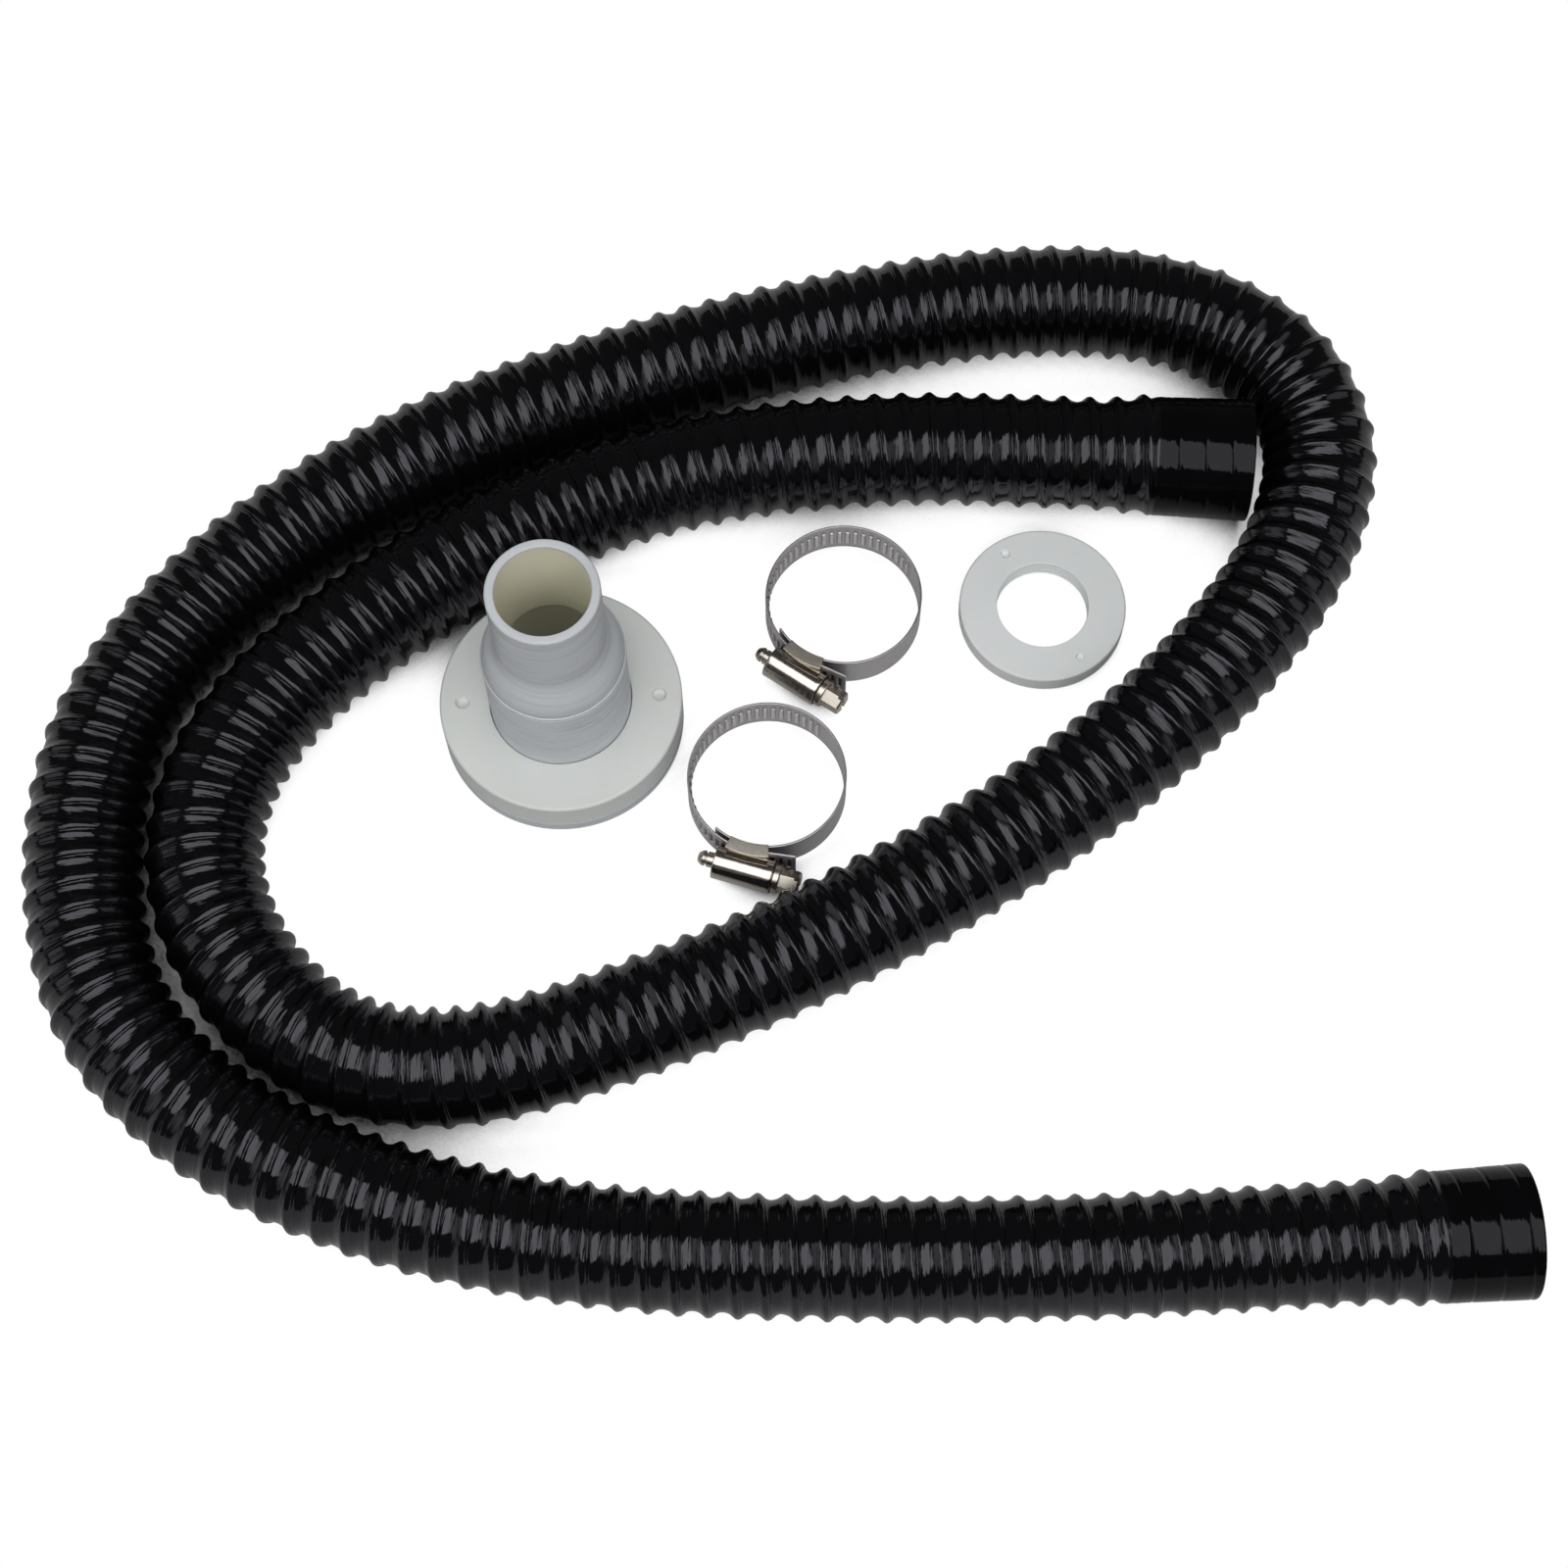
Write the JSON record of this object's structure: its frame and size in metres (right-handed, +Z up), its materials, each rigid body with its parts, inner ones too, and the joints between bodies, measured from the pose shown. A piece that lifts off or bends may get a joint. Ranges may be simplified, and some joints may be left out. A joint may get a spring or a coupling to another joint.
{
  "type": "drain hose kit",
  "caption": "Coiled ribbed drain hose with smooth cuffs, a flanged barbed tank fitting with lock nut, a loose ring nut and worm-drive hose clamps.",
  "frame": {"origin": "middle of the kit's outline on the surface that it lies on", "axes": "+Z up; +X along the kit's length, towards the near cuff; +Y towards the back of the coil"},
  "size_m": [0.4202, 0.332, 0.0865],
  "materials": {
    "hose": "extruded flexible vinyl, glossy, with a moulded helical rib",
    "cuff": "smooth glossy vinyl with faint lap lines",
    "fitting": "injection moulded white polypropylene",
    "nut": "injection moulded white polypropylene, satin",
    "clamp_band": "rolled stainless strip, dull",
    "clamp_housing": "pressed stainless sheet, polished",
    "clamp_screw": "cold headed steel, plated"
  },
  "bodies": {
    "hose": {"hose_tube": "hose", "near_cuff": "cuff", "far_cuff": "cuff"},
    "fitting": {"fitting_body": "fitting"},
    "lock_nut": {"lock_nut": "nut"},
    "ring_nut": {"ring_nut": "nut"},
    "clamp_a": {"clamp_a_band": "clamp_band", "clamp_a_saddle": "clamp_housing", "clamp_a_housing": "clamp_housing"},
    "clamp_a_screw": {"clamp_a_screw": "clamp_screw"},
    "clamp_b": {"clamp_b_band": "clamp_band", "clamp_b_saddle": "clamp_housing", "clamp_b_housing": "clamp_housing"},
    "clamp_b_screw": {"clamp_b_screw": "clamp_screw"}
  },
  "joints": [
    {"name": "fitting_lift", "type": "slide", "parent": "hose", "child": "fitting", "axis": [0, 0, 1], "range_m": [0, 0.06]},
    {"name": "lock_nut_travel", "type": "slide", "parent": "fitting", "child": "lock_nut", "axis": [0, 0, 1], "range_m": [0, 0.084]},
    {"name": "ring_nut_lift", "type": "slide", "parent": "hose", "child": "ring_nut", "axis": [0, 0, 1], "range_m": [0, 0.06]},
    {"name": "clamp_a_lift", "type": "slide", "parent": "hose", "child": "clamp_a", "axis": [0, 0, 1], "range_m": [0, 0.06]},
    {"name": "clamp_a_screw_turn", "type": "hinge", "parent": "clamp_a", "child": "clamp_a_screw", "pos_m": [0.00945, 0.02753, 0.00715], "axis": [0.829, -0.5592, 0], "continuous": true},
    {"name": "clamp_b_lift", "type": "slide", "parent": "hose", "child": "clamp_b", "axis": [0, 0, 1], "range_m": [0, 0.06]},
    {"name": "clamp_b_screw_turn", "type": "hinge", "parent": "clamp_b", "child": "clamp_b_screw", "pos_m": [-0.00551, -0.03332, 0.00715], "axis": [0.9588, -0.284, 0], "continuous": true}
  ]
}
